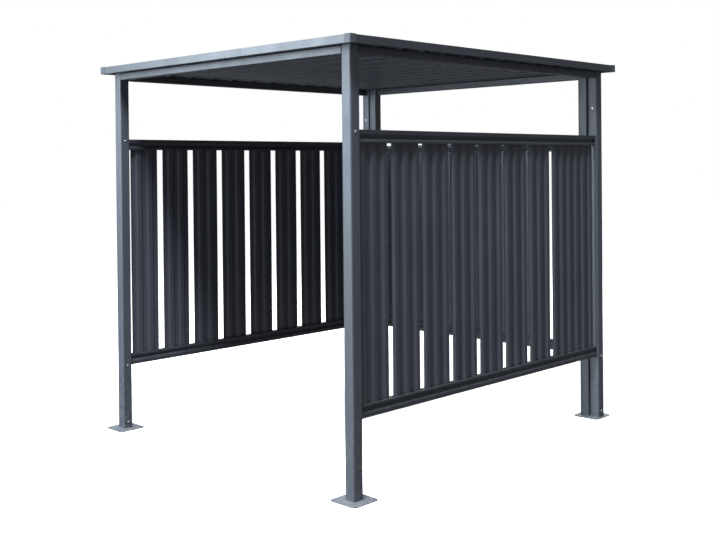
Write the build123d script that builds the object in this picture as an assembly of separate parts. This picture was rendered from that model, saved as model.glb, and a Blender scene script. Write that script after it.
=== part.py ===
from build123d import *
import os

os.makedirs("parts", exist_ok=True)

# A free-standing bicycle shelter of folded, powder-coated steel: posts on base plates, a flat
# ribbed roof inside a folded edge, an open front, and slatted walls on the other three sides.
# Millimetres, +Z up. The origin is on the ground in the middle of the plan. The open front
# faces -Y, and the walls face -X (left), +X (right) and +Y (back).

# Driving dimensions: the frame and the roof
frame_width = 1845.0
frame_depth = 2025.0
overall_height = 2000.0
roof_overhang = 55.0
seat_gap = 0.3

# Posts: a closed tube with round corners and a shallow channel down its inner face
post_width = 58.0
post_depth = 56.0
post_wall = 2.0
post_corner = 8.0
post_channel_width = 30.0
post_channel_depth = 2.0
post_channel_flare = 1.5
twin_post_gap = 7.0

# Base plates, each with a stub that its post sleeves over
plate_size = 156.0
plate_thickness = 4.0
plate_corner = 20.0
stub_height = 60.0
stub_wall = 3.0
stub_clearance = 0.4

# Wall rails: lipped channels whose walls are pressed in to hold the slats
bottom_rail_underside = 348.0
top_rail_top = 1600.0
back_rail_drop = 27.0
rail_height = 58.0
rail_wall = 1.5
rail_lip = 10.0
rail_slope = 12.0
rail_waist = 4.0
rail_press_depth = 9.0
rail_bend = 1.0

# Slats: three-crested pressed strips, with open gaps between them
bays_per_side = 9
back_slats = 6
slat_gap = 36.0
crests_per_slat = 3
slat_depth = 11.0
slat_sheet = 1.0
slat_crest = 23.0
slat_bend = 1.2
slat_clearance = 0.7
back_end_gap = 3.0

# Roof beams: closed tubes between the posts
beam_height = 38.0
beam_depth = 40.0
beam_wall = 2.0
beam_corner = 4.0
beam_setback = 1.0
least_corner = 0.5

# Roof edge: a folded trim with mitred corners under moulded caps
edge_height = 39.0
edge_flange = 30.0
edge_lip = 14.0
edge_wall = 1.5
edge_bend = 1.5
cap_leg = 36.0
cap_wall = 1.5
cap_corner = 3.0

# Ribbed roof sheets, laid side by side with their ribs across the width
ribs_per_sheet = 7
rib_height = 20.0
rib_top = 50.0
rib_slope = 15.0
roof_sheet = 1.0
rib_bend = 1.5
sheet_edge_gap = 1.0

# Places that follow from the sizes above
roof_width = frame_width + 2 * roof_overhang
roof_depth = frame_depth + 2 * roof_overhang
cap_shell = cap_wall + seat_gap
edge_width = roof_width - 2 * cap_shell
edge_depth = roof_depth - 2 * cap_shell
edge_top = overall_height - cap_shell
edge_bottom = overall_height - edge_height
beam_top = edge_bottom + edge_wall + seat_gap
post_x = (frame_width - post_width) / 2
post_y = (frame_depth - post_depth) / 2
twin_x = post_x - post_width - twin_post_gap
clear_depth = frame_depth - 2 * post_depth
clear_back = 2 * twin_x - post_width
side_rail_length = clear_depth - 2 * seat_gap
back_rail_length = clear_back - 2 * seat_gap
back_rail_top = top_rail_top - back_rail_drop
bay = side_rail_length / bays_per_side
crest_pitch = bay / crests_per_slat
one_crest = crest_pitch - slat_gap
rail_width = slat_depth + 2 * (slat_clearance + rail_press_depth + rail_wall)


def save(shape, name):
    export_step(shape, f"parts/{name}.step")


def on_right(shape):
    return mirror(shape, about=Plane.YZ)


def at_back(shape):
    return mirror(shape, about=Plane.XZ)


def in_left_wall(shape):
    """To the left wall, from a wall that stands over the Y axis with its outside to -X."""
    return Pos(-post_x, 0, 0) * shape


def in_back_wall(shape):
    """To the back wall, from the same; its front edge comes to the right twin post."""
    return Pos(0, post_y, 0) * Rot(0, 0, 90) * on_right(shape)


def folded(points, bend, wall):
    """The section of a sheet folded over a round tool, its thickness to the left of its line."""
    with BuildSketch() as section:
        with BuildLine():
            FilletPolyline(*points, radius=bend)
            offset(amount=wall, side=Side.LEFT)
        make_face()
    return section.sketch


def pressed(points, bend, wall):
    """The section of a rolled sheet whose thickness lies to the right of its line of points.

    Each bend is one narrow flat, which starts this far before and after its point.
    """
    corners = [Vector(*point) for point in points]
    near = [corners[0]]
    for before, corner, after in zip(corners, corners[1:], corners[2:]):
        near.append(corner + (before - corner).normalized() * bend)
        near.append(corner + (after - corner).normalized() * bend)
    near.append(corners[-1])
    to_right = [(end - start).normalized().rotate(Axis.Z, -90) for start, end in zip(near, near[1:])]
    to_right = [to_right[0], *to_right, to_right[-1]]
    far = [
        corner + (one + other) * (wall / (1 + one.dot(other)))
        for corner, one, other in zip(near, to_right, to_right[1:])
    ]
    return make_face(Polyline(*near, *reversed(far), close=True))


def tube_section(width, depth, corner, wall):
    return RectangleRounded(width, depth, corner) - RectangleRounded(
        width - 2 * wall, depth - 2 * wall, max(corner - wall, least_corner)
    )


def post_section():
    """A front post seen from above: its channel is on the face that looks inward, +Y."""
    outer = RectangleRounded(post_width, post_depth, post_corner)
    inner = RectangleRounded(
        post_width - 2 * post_wall, post_depth - 2 * post_wall, post_corner - post_wall
    )
    return (outer - channel_cut(0)) - (inner - channel_cut(post_wall))


def channel_cut(wall):
    half = post_channel_width / 2 + wall
    face = post_depth / 2 - wall
    floor = face - post_channel_depth
    rim = half + post_channel_flare
    return make_face(
        Polyline((-half, floor), (half, floor), (rim, face), (-rim, face), close=True)
    )


def post():
    height = beam_top - plate_thickness
    return Pos(0, 0, plate_thickness) * extrude(post_section(), amount=height)


def stub():
    """The socket stub of one post, clear of the tube and of the channel in its face."""
    inside = 2 * (post_wall + stub_clearance)
    width = post_width - inside
    depth = post_depth - inside - post_channel_depth
    corner = post_corner - post_wall
    outer = chamfer(Rectangle(width, depth).vertices(), corner)
    inner = offset(outer, -stub_wall, kind=Kind.INTERSECTION)
    tube = extrude(outer - inner, amount=stub_height)
    return Pos(0, -post_channel_depth / 2, plate_thickness) * tube


def base_plate(stub_places):
    """A round-cornered plate with one stub at each distance across its width."""
    flat = extrude(RectangleRounded(plate_size, plate_size, plate_corner), amount=plate_thickness)
    stubs = [Pos(across, 0, 0) * stub() for across in stub_places]
    return flat.fuse(*stubs)


def rail_section():
    """A bottom rail seen along its length: web below, lips above, middle of the web at 0."""
    half = rail_width / 2
    waist = half - rail_press_depth
    mouth = slat_depth / 2 + slat_clearance
    under_lip = rail_height - rail_lip
    above_waist = under_lip - rail_slope
    below_waist = above_waist - rail_waist
    wall_foot = below_waist - rail_slope
    right_wall = [
        (mouth, rail_height),
        (half, rail_height),
        (half, under_lip),
        (waist, above_waist),
        (waist, below_waist),
        (half, wall_foot),
        (half, 0),
    ]
    left_wall = [(-across, up) for across, up in reversed(right_wall)]
    return pressed(right_wall + left_wall, rail_bend, rail_wall)


def rail(length):
    """A rail along Y, with its web on the ground."""
    return extrude(Plane.XZ * rail_section(), amount=length / 2, both=True)


def bottom_rail(length):
    return Pos(0, 0, bottom_rail_underside) * rail(length)


def top_rail(length, top):
    return Pos(0, 0, top) * mirror(rail(length), about=Plane.XY)


def slat_section(crests):
    """A slat seen from above, its front edge at the origin and its crests standing out to -X.

    Its front edge is the foot of a slope, and its back edge is turned in square from a crest.
    """
    slope = one_crest - slat_crest
    crest_face = -slat_depth / 2
    valley_face = slat_depth / 2 - slat_sheet
    points = []
    for crest in range(crests):
        foot = crest * crest_pitch
        points += [
            (valley_face, foot),
            (crest_face, foot + slope),
            (crest_face, foot + one_crest),
            (valley_face, foot + slope + one_crest),
        ]
    points[-1] = (valley_face, points[-2][1])
    return pressed(points, slat_bend, slat_sheet)


def slat(crests, front_edge, rail_top):
    """A slat over the Y axis, held between the bottom rail and a top rail of this height."""
    bottom = bottom_rail_underside + rail_wall
    top = rail_top - rail_wall - seat_gap
    return Pos(0, front_edge, bottom) * extrude(slat_section(crests), amount=top - bottom)


def beam(length):
    """A beam along X, its top face at z 0 and its outer face at y 0, outward to -Y."""
    section = tube_section(beam_depth, beam_height, beam_corner, beam_wall)
    tube = extrude(Plane.YZ * section, amount=length / 2, both=True)
    return Pos(0, beam_depth / 2, -beam_height / 2) * tube


def front_beam(inner_post_face):
    length = 2 * (inner_post_face - seat_gap)
    return Pos(0, beam_setback - frame_depth / 2, beam_top) * beam(length)


def side_beam():
    """The left beam, between the posts, with its outer face to -X."""
    turned = Rot(0, 0, -90) * beam(side_rail_length)
    return Pos(beam_setback - frame_width / 2, 0, beam_top) * turned


def edge_trim(length, across):
    """The front trim of an edge whose two outer faces are this far apart, mitred both ends."""
    tall = edge_top - edge_bottom
    points = [(edge_flange, tall), (0, tall), (0, 0), (edge_lip, 0)]
    section = folded(points, edge_bend, edge_wall)
    run = extrude(Plane.YZ * section, amount=length / 2, both=True)
    reach = edge_flange + seat_gap
    plan = Polyline(
        (-length / 2, 0),
        (length / 2, 0),
        (length / 2 - reach, reach),
        (-length / 2 + reach, reach),
        close=True,
    )
    wedge = extrude(make_face(plan), amount=tall)
    return Pos(0, -across / 2, edge_bottom) * (run & wedge)


def corner_cap():
    """The front left cap: two outer walls and a top, open below and to the inside."""
    block = extrude(Rectangle(cap_leg, cap_leg, align=Align.MIN), amount=edge_height)
    hollow = extrude(Rectangle(cap_leg, cap_leg, align=Align.MIN), amount=edge_height - cap_wall)
    cap = block - Pos(cap_wall, cap_wall, 0) * hollow
    upright = cap.edges().filter_by(Axis.Z)
    outer_edge = upright.sort_by(lambda edge: edge.center().X + edge.center().Y)[0]
    return Pos(-roof_width / 2, -roof_depth / 2, edge_bottom) * fillet(outer_edge, cap_corner)


def roof_half():
    """The front sheet: ribs across the width, from the middle of the roof to the front edge."""
    room = edge_wall + sheet_edge_gap
    reach = edge_depth / 2 - room
    rib_pitch = reach / ribs_per_sheet
    valley = rib_pitch - rib_top - 2 * rib_slope
    points = [(-seat_gap / 2, 0)]
    for rib in range(ribs_per_sheet):
        start = -rib * rib_pitch - valley / 2
        points += [
            (start, 0),
            (start - rib_slope, rib_height - roof_sheet),
            (start - rib_slope - rib_top, rib_height - roof_sheet),
            (start - 2 * rib_slope - rib_top, 0),
        ]
    points.append((-reach, 0))
    section = pressed(points, rib_bend, roof_sheet)
    half_width = edge_width / 2 - room
    return Pos(0, 0, beam_top) * extrude(Plane.YZ * section, amount=half_width, both=True)


left_post = Pos(-post_x, -post_y, 0) * post()
left_twin = Pos(-twin_x, -post_y, 0) * post()
single_plate = Pos(-post_x, -post_y, 0) * base_plate([0])
twin_middle = (post_x + twin_x) / 2
twin_plate = Pos(-twin_middle, -post_y, 0) * base_plate([twin_middle - post_x, twin_middle - twin_x])

save(left_post, "post_front_left")
save(on_right(left_post), "post_front_right")
save(at_back(left_post), "post_back_left")
save(at_back(on_right(left_post)), "post_back_right")
save(at_back(left_twin), "twin_post_back_left")
save(at_back(on_right(left_twin)), "twin_post_back_right")
save(single_plate, "base_plate_front_left")
save(on_right(single_plate), "base_plate_front_right")
save(at_back(twin_plate), "base_plate_back_left")
save(at_back(on_right(twin_plate)), "base_plate_back_right")

left_bottom_rail = in_left_wall(bottom_rail(side_rail_length))
left_top_rail = in_left_wall(top_rail(side_rail_length, top_rail_top))
save(left_bottom_rail, "rail_bottom_left")
save(on_right(left_bottom_rail), "rail_bottom_right")
save(left_top_rail, "rail_top_left")
save(on_right(left_top_rail), "rail_top_right")
save(in_back_wall(bottom_rail(back_rail_length)), "rail_bottom_back")
save(in_back_wall(top_rail(back_rail_length, back_rail_top)), "rail_top_back")

# Two bays of each side, next to the back post, are closed by one double slat
side_slats = bays_per_side - 2
side_edge = (slat_gap - side_rail_length) / 2
for number in range(side_slats):
    left_slat = in_left_wall(slat(crests_per_slat, side_edge + number * bay, top_rail_top))
    save(left_slat, f"slat_left_{number + 1}")
    save(on_right(left_slat), f"slat_right_{number + 1}")
left_double = in_left_wall(slat(2 * crests_per_slat, side_edge + side_slats * bay, top_rail_top))
save(left_double, "slat_left_double")
save(on_right(left_double), "slat_right_double")

# The back wall has slats of the same pitch, and one wide slat closes it at the left
back_edge = back_end_gap - back_rail_length / 2
for number in range(back_slats):
    back_slat = slat(crests_per_slat, back_edge + number * bay, back_rail_top)
    save(in_back_wall(back_slat), f"slat_back_{number + 1}")
wide_edge = back_edge + back_slats * bay
wide_crests = 1 + int((back_rail_length / 2 - wide_edge - one_crest) / crest_pitch)
save(in_back_wall(slat(wide_crests, wide_edge, back_rail_top)), "slat_back_wide")

save(front_beam(post_x - post_width / 2), "beam_front")
save(at_back(front_beam(twin_x - post_width / 2)), "beam_back")
save(side_beam(), "beam_left")
save(on_right(side_beam()), "beam_right")

front_trim = edge_trim(edge_width, edge_depth)
left_trim = Rot(0, 0, -90) * edge_trim(edge_depth, edge_width)
save(front_trim, "roof_edge_front")
save(at_back(front_trim), "roof_edge_back")
save(left_trim, "roof_edge_left")
save(on_right(left_trim), "roof_edge_right")
save(corner_cap(), "corner_cap_front_left")
save(on_right(corner_cap()), "corner_cap_front_right")
save(at_back(corner_cap()), "corner_cap_back_left")
save(at_back(on_right(corner_cap())), "corner_cap_back_right")
save(roof_half(), "roof_sheet_front")
save(at_back(roof_half()), "roof_sheet_back")
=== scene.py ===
# %% [markdown]
# # A slatted bicycle shelter in powder-coated steel
# The imported CAD model comes in as a fixed frame: every post, rail, slat, beam and roof sheet
# already has its size and place, in metres. This notebook adds what a CAD model doesn't have:
# a camera, studio light, the paint on each piece, and the small zinc fasteners.

# %% Load the frame
import math

import bmesh
import bpy
from mathutils import Matrix, Vector


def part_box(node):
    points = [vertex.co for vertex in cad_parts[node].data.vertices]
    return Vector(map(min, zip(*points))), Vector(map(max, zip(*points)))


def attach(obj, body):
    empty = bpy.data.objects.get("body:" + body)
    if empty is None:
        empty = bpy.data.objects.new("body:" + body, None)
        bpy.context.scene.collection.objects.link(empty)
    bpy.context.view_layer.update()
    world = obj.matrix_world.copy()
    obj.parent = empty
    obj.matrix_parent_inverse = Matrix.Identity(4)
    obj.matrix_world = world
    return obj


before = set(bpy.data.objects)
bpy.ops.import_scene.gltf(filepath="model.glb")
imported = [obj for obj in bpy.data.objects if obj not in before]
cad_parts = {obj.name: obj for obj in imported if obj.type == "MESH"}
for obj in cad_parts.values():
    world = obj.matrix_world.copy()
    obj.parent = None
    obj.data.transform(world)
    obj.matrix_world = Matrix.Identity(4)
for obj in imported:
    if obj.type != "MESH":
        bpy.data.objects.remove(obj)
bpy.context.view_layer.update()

# %% [markdown]
# ## The camera
# A camera in Blender looks along its own -Z, with +Y up in the picture. Its place and its turn
# can be set by hand, but this one has to show the shelter just as the photograph does: from
# 1.45 m above the ground, 5.7 m from the middle of the shelter, looking almost level at its
# front right corner. So the turn is built from three angles: the heading, a slight look down
# and a slight roll. The picture shows more below the horizon than above it. Tilting the camera
# would make the posts lean, so the sensor is shifted instead, as on an architect's lens. Both
# were measured in pixels of the picture. Blender wants the lens in millimetres on its sensor,
# and the shift as a share of the picture's width.

# %% Camera
picture_width = 716
focal_pixels, shift_pixels = 1008.245, -97.22
eye = Vector((3.9539, -4.0564, 1.4472))
heading, look_down, roll = (math.radians(angle) for angle in (44.507, 0.452, -0.533))

turn = (
    Matrix.Rotation(heading, 4, "Z")
    @ Matrix.Rotation(math.radians(90) - look_down, 4, "X")
    @ Matrix.Rotation(roll, 4, "Z")
)
camera_data = bpy.data.cameras.new("corner_view")
camera_data.sensor_width = 36
camera_data.lens = focal_pixels / picture_width * camera_data.sensor_width
camera_data.shift_y = shift_pixels / picture_width
camera = bpy.data.objects.new("corner_view", camera_data)
camera.matrix_world = Matrix.Translation(eye) @ turn
bpy.context.scene.collection.objects.link(camera)
bpy.context.scene.camera = camera
print(f"lens {camera_data.lens:.1f} mm, shift {camera_data.shift_y:.3f}")

# %% [markdown]
# ## Two helpers for node trees
# Every finish here, and the room too, is a tree of nodes. In the editor each node is placed
# and linked by hand. In a script the same steps repeat many times, so one helper fills a
# node's sockets, with a link where the value comes from another node and with the value itself
# where it is the same all over. A second helper starts a material and gives back its shader.

# %% Helpers for nodes and materials
def node_tools(tree):
    """Two functions for one tree: fill a node's sockets, and add a node and fill it."""

    def fill(node, sockets):
        for key, value in sockets.items():
            if isinstance(value, bpy.types.NodeSocket):
                tree.links.new(value, node.inputs[key])
            else:
                node.inputs[key].default_value = value

    def add(kind, sockets, **settings):
        node = tree.nodes.new(kind)
        for key, value in settings.items():
            setattr(node, key, value)
        fill(node, sockets)
        return node

    return fill, add


def shader_material(name):
    """A new material, its shader, and the two functions for its tree."""
    material = bpy.data.materials.new(name)
    material.use_nodes = True
    tree = material.node_tree
    shader = next(node for node in tree.nodes if node.type == "BSDF_PRINCIPLED")
    return material, shader, *node_tools(tree)


print("helpers ready")

# %% [markdown]
# ## Floor
# The floor is one large square of pale, matt board. A plane could be added from the menu, but
# a bmesh grid has its size in its points, so the object needs no scale. The board glows a
# little, as a light table does, so the shadows on it stay soft and pale. It isn't part of the
# shelter.

# %% Floor
def mesh_object(name, mesh, material):
    """A finished bmesh as an object at the origin, with its one material."""
    data = bpy.data.meshes.new(name)
    mesh.to_mesh(data)
    mesh.free()
    data.materials.append(material)
    made = bpy.data.objects.new(name, data)
    bpy.context.scene.collection.objects.link(made)
    return made


floor_reach = 30
floor_material, floor_shader, fill, add = shader_material("floor_board")
fill(
    floor_shader,
    {
        "Base Color": (0.82, 0.82, 0.82, 1),
        "Roughness": 0.9,
        "Emission Color": (1, 1, 1, 1),
        "Emission Strength": 0.86,
    },
)

board = bmesh.new()
bmesh.ops.create_grid(board, x_segments=1, y_segments=1, size=floor_reach)
floor = mesh_object("floor", board, floor_material)
floor.visible_diffuse = False
floor.visible_glossy = False
print(f"floor of {2 * floor_reach} m, at z 0")

# %% [markdown]
# ## Softboxes
# The shelter stands in a white studio. One tall softbox at the front left lights the front
# faces of the posts and of the roof edge, and they mirror it a little. A low one in front
# reaches the feet and the underside of the roof. A smaller one hangs high at the front right:
# its light runs down along the right side, so it catches the slope of each pressed rib, leaves
# the flats dark and hardly gets in under the roof. A weak one stands behind at the left, so
# that the back isn't lost in the dark, and one more hangs above the roof. Point lamps could
# stand in the same places, but their edges would be hard and semi-gloss paint shows a lamp's
# shape, so each is a broad area light.

# %% Softboxes
def softbox(name, place, aim, size, power, colour=(1, 1, 1)):
    """An area light at a place, facing a point, with its height upright."""
    lamp = bpy.data.lights.new(name, "AREA")
    lamp.shape = "RECTANGLE"
    lamp.size, lamp.size_y = size
    lamp.energy = power
    lamp.color = colour
    lit = bpy.data.objects.new(name, lamp)
    facing = (Vector(aim) - Vector(place)).to_track_quat("-Z", "Y")
    lit.matrix_world = Matrix.Translation(place) @ facing.to_matrix().to_4x4()
    bpy.context.scene.collection.objects.link(lit)


cool, cooler, coolest = (0.95, 0.97, 1.0), (0.84, 0.93, 1.0), (0.76, 0.89, 1.0)
softbox("key_front_left", (-3.4, -4.8, 3.1), (0, -0.9, 1.3), (3.0, 3.8), 350, coolest)
softbox("low_front", (-1.0, -6.8, 0.8), (0, -0.9, 1.0), (2.6, 1.4), 170, cooler)
softbox("high_front_right", (2.0, -3.2, 7.6), (0.9, 0, 1.0), (1.6, 1.6), 1150, cool)
softbox("back_left", (-4.0, 5.2, 4.0), (0, 0.9, 1.1), (3.0, 2.6), 330)
softbox("top", (0, 0, 6.0), (0, 0, 0), (5.0, 5.0), 160)
print("five softboxes")

# %% [markdown]
# ## The room
# A plain grey world would light every side alike and show as a grey background. This one shows
# the camera a white room, but the light it gives is dim, and it fades from the front to the
# back, as in a real room with one bright wall. For a world, the generated coordinates are the
# direction looked in, so their Y runs from -1 at the front to 1 at the back.

# %% The room
world = bpy.data.worlds.new("white_room")
world.use_nodes = True
bpy.context.scene.world = world
world.node_tree.nodes.clear()
fill, add = node_tools(world.node_tree)

front_light, back_light = 0.44, 0.16
direction = add("ShaderNodeTexCoord", {}).outputs["Generated"]
depth = add("ShaderNodeSeparateXYZ", {"Vector": direction}).outputs["Y"]
fading = add(
    "ShaderNodeMapRange",
    {"Value": depth, "From Min": -1, "From Max": 1, "To Min": front_light, "To Max": back_light},
)
dim = add(
    "ShaderNodeBackground",
    {"Color": (0.93, 0.96, 1, 1), "Strength": fading.outputs["Result"]},
)
seen = add("ShaderNodeBackground", {"Color": (1, 1, 1, 1), "Strength": 1.0})
looking = add("ShaderNodeLightPath", {}).outputs["Is Camera Ray"]
room = add(
    "ShaderNodeMixShader",
    {"Fac": looking, 1: dim.outputs["Background"], 2: seen.outputs["Background"]},
)
add("ShaderNodeOutputWorld", {"Surface": room.outputs["Shader"]})
bpy.context.scene.view_settings.view_transform = "Standard"
print(f"a white room that gives {front_light} in front and {back_light} behind")

# %% [markdown]
# ## Powder coat
# Powder coat is a thick paint baked onto the steel. Close up it has orange peel: a gentle
# ripple, about a millimetre from crest to crest. Its gloss is never quite even, and outdoors
# some dust settles low down. An image texture could hold all this, but noise on Object
# coordinates is sharp at any distance and runs on from piece to piece. The paint is made in
# four layers, each a small function: clouds of colour, dust, gloss and skin.

# %% The layers of the powder coat
def clouded(add, place, colour):
    """The colour in faint clouds, a little lighter and a little darker."""
    clouds = add("ShaderNodeTexNoise", {"Vector": place, "Scale": 2.3, "Detail": 4.0})
    dark = (*(part * 0.86 for part in colour), 1)
    light = (*(min(1, part * 1.22 + 0.004) for part in colour), 1)
    mix = {"Factor": clouds.outputs["Fac"], "A": dark, "B": light}
    return add("ShaderNodeMix", mix, data_type="RGBA").outputs["Result"]


def dusted(add, place, paint, dust):
    """Dust over the paint: strongest near the ground, and broken up by fine noise."""
    dust_top = 0.55
    height = add("ShaderNodeSeparateXYZ", {"Vector": place}).outputs["Z"]
    low = add("ShaderNodeMapRange", {"Value": height, "From Min": dust_top, "From Max": 0.0})
    specks = add("ShaderNodeTexNoise", {"Vector": place, "Scale": 38.0, "Detail": 6.0})
    span = {"Value": specks.outputs["Fac"], "From Min": 0.45, "From Max": 0.75}
    patchy = add("ShaderNodeMapRange", span)
    both = {0: low.outputs["Result"], 1: patchy.outputs["Result"]}
    settled = add("ShaderNodeMath", both, operation="MULTIPLY")
    amount = add("ShaderNodeMath", {0: settled.outputs["Value"], 1: dust}, operation="MULTIPLY")
    mix = {"Factor": amount.outputs["Value"], "A": paint, "B": (0.30, 0.29, 0.27, 1)}
    return add("ShaderNodeMix", mix, data_type="RGBA").outputs["Result"]


def uneven_gloss(add, place, roughness):
    """The roughness, a little lower in some places and a little higher in others."""
    sheen = add("ShaderNodeTexNoise", {"Vector": place, "Scale": 9.0, "Detail": 3.0})
    span = {"Value": sheen.outputs["Fac"], "From Min": 0.3, "From Max": 0.7}
    span |= {"To Min": roughness - 0.04, "To Max": roughness + 0.06}
    return add("ShaderNodeMapRange", span).outputs["Result"]


def orange_peel(add, place, peel):
    """A ripple in the skin of the paint, as deep as peel in metres."""
    ripple = add("ShaderNodeTexNoise", {"Vector": place, "Scale": 620.0, "Detail": 2.0})
    bump = {"Height": ripple.outputs["Fac"], "Strength": 0.5, "Distance": peel}
    return add("ShaderNodeBump", bump).outputs["Normal"]


print("four layers: clouds, dust, gloss and skin")

# %% [markdown]
# ## One coat for each kind of piece
# All the steel has the same anthracite paint, and each kind of piece gets its own shade, gloss
# and dust from the same four layers. The shades are lit and shaded copies of that one paint:
# the plates are made twice as light as the posts, as painted light from above and painted
# reflection of the white room, the rails are made darker as painted shade, and the shades of
# the other kinds are set apart a little in the same way. Specular level is the same all over a
# coat, so it is set on the shader's own socket.

# %% Coats for the steel
def powder_coat(name, colour, roughness, shine=0.5, dust=0.25):
    """Dark semi-gloss paint: even colour with faint clouds, uneven gloss and orange peel."""
    material, shader, fill, add = shader_material(name)
    place = add("ShaderNodeTexCoord", {}).outputs["Object"]
    paint = clouded(add, place, colour)
    fill(
        shader,
        {
            "Base Color": dusted(add, place, paint, dust),
            "Roughness": uneven_gloss(add, place, roughness),
            "Normal": orange_peel(add, place, 0.00004),
            "Specular IOR Level": shine,
        },
    )
    return material


coats = {
    "posts": powder_coat("coat_posts", (0.050, 0.058, 0.076), 0.46, shine=0.75),
    # Painted light: the plates are twice as light as the posts, standing in for light from above
    # and for the white room mirrored in their tops.
    "plates": powder_coat("coat_plates_painted_light", (0.100, 0.116, 0.140), 0.40, dust=0.5),
    # Painted shade: the rails are darker than the posts, standing in for the shade they lie in.
    "rails": powder_coat("coat_rails_painted_shade", (0.030, 0.034, 0.045), 0.42),
    "slats": powder_coat("coat_slats", (0.043, 0.048, 0.064), 0.40),
    "beams": powder_coat("coat_beams", (0.034, 0.037, 0.050), 0.40, shine=0.7),
    "roof_edge": powder_coat("coat_roof_edge", (0.026, 0.032, 0.043), 0.36, shine=0.8),
    "roof_sheets": powder_coat("coat_roof_sheets", (0.048, 0.053, 0.066), 0.42),
}
print(f"{len(coats)} powder coats")

# %% [markdown]
# ## Moulded plastic
# The small caps over the corners of the roof edge are moulded in a matt plastic of almost the
# same grey. Moulded plastic is grained. Noise would make the grain soft like the paint's skin,
# so cells of a Voronoi texture make it, finer and crisper, and the gloss is lower.

# %% Plastic for the corner caps
def moulded_plastic(name, colour, roughness):
    """Matt plastic: faintly mottled colour and a fine moulded grain."""
    material, shader, fill, add = shader_material(name)
    place = add("ShaderNodeTexCoord", {}).outputs["Object"]
    tint = add("ShaderNodeTexNoise", {"Vector": place, "Scale": 25.0, "Detail": 2.0})
    dark = (*(part * 0.9 for part in colour), 1)
    light = (*(part * 1.12 for part in colour), 1)
    mix = {"Factor": tint.outputs["Fac"], "A": dark, "B": light}
    grain = add("ShaderNodeTexVoronoi", {"Vector": place, "Scale": 1400.0})
    bump = {"Height": grain.outputs["Distance"], "Strength": 0.4, "Distance": 0.00005}
    fill(
        shader,
        {
            "Base Color": add("ShaderNodeMix", mix, data_type="RGBA").outputs["Result"],
            "Normal": add("ShaderNodeBump", bump).outputs["Normal"],
            "Roughness": roughness,
        },
    )
    return material


coats["caps"] = moulded_plastic("plastic_caps", (0.062, 0.072, 0.088), 0.55)
print("plastic for the caps")

# %% [markdown]
# ## Paint the CAD pieces
# Each CAD piece arrives with a plain material in its slot. Its node's name says what it is, so
# the finish is chosen by the start of the name. Only the slot changes, never the mesh.

# %% Paint the CAD pieces
finish_of = {
    "post_": "posts",
    "twin_post_": "posts",
    "base_plate_": "plates",
    "rail_": "rails",
    "slat_": "slats",
    "beam_": "beams",
    "roof_edge_": "roof_edge",
    "roof_sheet_": "roof_sheets",
    "corner_cap_": "caps",
}
for name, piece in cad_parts.items():
    finish = next(finish for start, finish in finish_of.items() if name.startswith(start))
    for slot in piece.material_slots:
        slot.material = coats[finish]
print(f"painted {len(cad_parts)} pieces")

# %% [markdown]
# ## Zinc plate
# The bolts are plated with bright zinc. A plain metal with one roughness would look like
# chrome. Real zinc is patchy, and where it is paler it is also duller, so one noise drives
# both the tone and the roughness.

# %% Zinc for the bolts
def zinc_plate(name):
    """Bright zinc: a metal with patchy gloss and faint darker stains."""
    material, shader, fill, add = shader_material(name)
    place = add("ShaderNodeTexCoord", {}).outputs["Object"]
    stain = add("ShaderNodeTexNoise", {"Vector": place, "Scale": 240.0, "Detail": 3.0})
    stain = stain.outputs["Fac"]
    tone = {"Factor": stain, "A": (0.42, 0.43, 0.45, 1), "B": (0.78, 0.79, 0.80, 1)}
    gloss = {"Value": stain, "To Min": 0.28, "To Max": 0.5}
    fill(
        shader,
        {
            "Base Color": add("ShaderNodeMix", tone, data_type="RGBA").outputs["Result"],
            "Roughness": add("ShaderNodeMapRange", gloss).outputs["Result"],
            "Metallic": 1.0,
        },
    )
    return material


zinc = zinc_plate("zinc_plate")
print("zinc for the bolts")

# %% [markdown]
# ## One button-head bolt
# The small bright dots on the posts are button-head bolts. They tie the ends of the rails and
# the stubs of the base plates to the posts. A bolt could be a plain short cylinder, but its
# light comes from the dome, the washer's edge and the dark socket. So one bolt is modelled as
# it is turned: a round blank is extruded, its rim is bevelled into a dome, and a hexagonal
# socket is sunk into its top.

# %% Steps of turning
def disc(mesh, radius, segments):
    """A round face on the ground, looking up."""
    circle = bmesh.ops.create_circle(mesh, cap_ends=True, segments=segments, radius=radius)
    return circle["verts"][0].link_faces[0]


def extruded(mesh, face, height):
    """Extrude one level face up or down, and return the face at the new end."""
    grown = bmesh.ops.extrude_discrete_faces(mesh, faces=[face])["faces"][0]
    bmesh.ops.translate(mesh, vec=(0, 0, height), verts=grown.verts)
    return grown


def top_face(mesh):
    """The largest of the highest faces."""
    return max(
        mesh.faces,
        key=lambda face: (round(face.calc_center_median().z, 6), face.calc_area()),
    )


def hexagonal(face, radius):
    """Move the corners of a round face in onto a hexagon round Z."""
    sixth = math.radians(60)
    for corner in face.verts:
        off_middle = math.atan2(corner.co.y, corner.co.x) % sixth - sixth / 2
        reach = radius * math.cos(sixth / 2) / math.cos(off_middle)
        corner.co.xy = corner.co.xy.normalized() * reach


print("disc, extrusion, top face and hexagon")

# %% [markdown]
# The blank starts as the washer. Its top is inset to the size of the head and drawn up, and
# the bevel takes most of the head's height, so the side becomes a dome. The new top is inset
# once more, its corners are moved onto a hexagon, and that face is pushed down as the socket.
# The first extrusion took the disc's own face up with it, so the washer is open underneath. It
# lies against the post there, but an open shell can't tell its inside from its outside, so the
# hole is filled before the normals are turned outwards.

# %% One bolt
washer_radius, washer_thickness = 0.0070, 0.0009
head_radius, head_height = 0.0054, 0.0031
dome_share = 0.8
socket_radius, socket_depth, socket_edge = 0.0019, 0.0016, 0.0009


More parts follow.
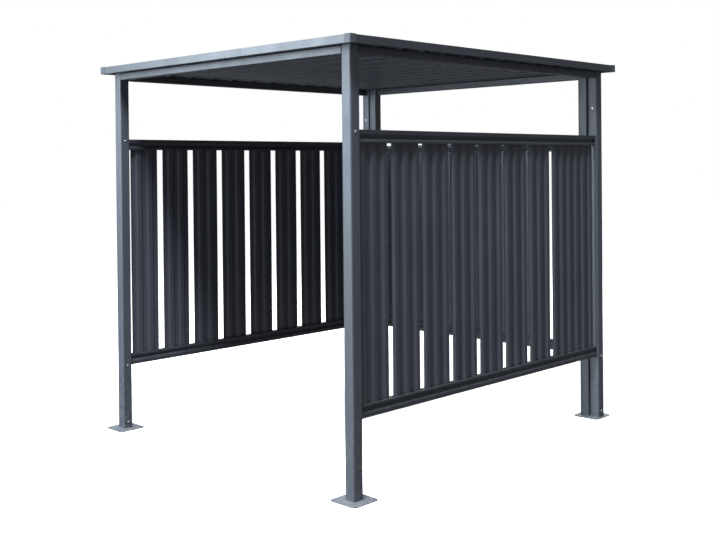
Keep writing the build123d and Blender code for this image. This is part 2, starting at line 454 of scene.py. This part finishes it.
def button_head():
    """A bolt along Z with its washer's underside at the origin."""
    bolt = bmesh.new()
    washer_top = extruded(bolt, disc(bolt, washer_radius, 24), washer_thickness)
    bmesh.ops.inset_individual(bolt, faces=[washer_top], thickness=washer_radius - head_radius)
    crown = extruded(bolt, washer_top, head_height)
    bmesh.ops.bevel(
        bolt,
        geom=list(crown.edges),
        offset=head_height * dome_share,
        offset_type="OFFSET",
        affect="EDGES",
        segments=4,
        profile=0.5,
        material=-1,
    )
    crown = top_face(bolt)
    bmesh.ops.inset_individual(bolt, faces=[crown], thickness=socket_edge)
    hexagonal(crown, socket_radius)
    extruded(bolt, crown, -socket_depth)
    underside = [edge for edge in bolt.edges if edge.is_boundary]
    bmesh.ops.holes_fill(bolt, edges=underside, sides=len(underside))
    bmesh.ops.recalc_face_normals(bolt, faces=bolt.faces)
    return bolt


sample_bolt = button_head()
bolt_pattern = bpy.data.meshes.new("bolt_pattern")
sample_bolt.to_mesh(bolt_pattern)
sample_bolt.free()
print(f"one bolt: {len(bolt_pattern.polygons)} faces, washer {2000 * washer_radius:.0f} mm")

# %% [markdown]
# ## Stamping the bolts
# The same bolt comes back many times. Linked copies would make a separate object of each, and
# an array only runs in straight lines. So the pattern is copied into one mesh at each place,
# turned to look the right way, and all the bolts of a side are one piece. Each is sunk by a
# tenth of a millimetre so that no light shows under its washer.

# %% Stamp a pattern
sunk = 0.0001


def stamp(mesh, pattern, place, facing):
    """Copy a pattern that looks along +Z into a mesh, at a place, looking along facing."""
    before = len(mesh.verts)
    mesh.from_mesh(pattern)
    mesh.verts.ensure_lookup_table()
    turned = Vector(facing).to_track_quat("Z", "Y").to_matrix().to_4x4()
    where = Matrix.Translation(Vector(place) - sunk * Vector(facing))
    bmesh.ops.transform(mesh, matrix=where @ turned, verts=mesh.verts[before:])


def fasteners(name, pattern, places, material):
    """One piece that holds copies of a pattern at several places and directions."""
    mesh = bmesh.new()
    for place, facing in places:
        stamp(mesh, pattern, place, facing)
    made = mesh_object(name, mesh, material)
    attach(made, "root")
    return made


print(f"each bolt is sunk {1000 * sunk:.1f} mm")

# %% [markdown]
# ## Where the bolts go
# Each place is worked out from the box of a CAD piece, so a bolt sits on the face that carries
# it. The bolts at the feet pass into the stubs, and those higher up pass into the ends of the
# rails. One more, in the channel on the front of each back post, holds the roof beam.

# %% Bolts on the posts
foot_bolt, lower_rail_bolt, upper_rail_bolt, beam_bolt = 0.038, 0.350, 1.590, 1.756
channel_depth = 0.002
rows_of_bolts = (
    ("post_front", "outer", (upper_rail_bolt,)),
    ("post_front", "inner", (foot_bolt, lower_rail_bolt, upper_rail_bolt)),
    ("post_back", "outer", (foot_bolt, lower_rail_bolt)),
    ("twin_post_back", "inner", (foot_bolt, lower_rail_bolt)),
)

for side, side_name in ((-1, "left"), (1, "right")):
    places = []
    for post, face, heights in rows_of_bolts:
        low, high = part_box(f"{post}_{side_name}")
        facing = side if face == "outer" else -side
        x = high[0] if facing > 0 else low[0]
        y = (low[1] + high[1]) / 2
        places += [((x, y, z), (facing, 0, 0)) for z in heights]
    low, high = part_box(f"post_back_{side_name}")
    middle = (low[0] + high[0]) / 2
    places.append(((middle, low[1] + channel_depth, beam_bolt), (0, -1, 0)))
    fasteners(f"post_bolts_{side_name}", bolt_pattern, places, zinc)
    print(f"{len(places)} bolts on the {side_name} posts")
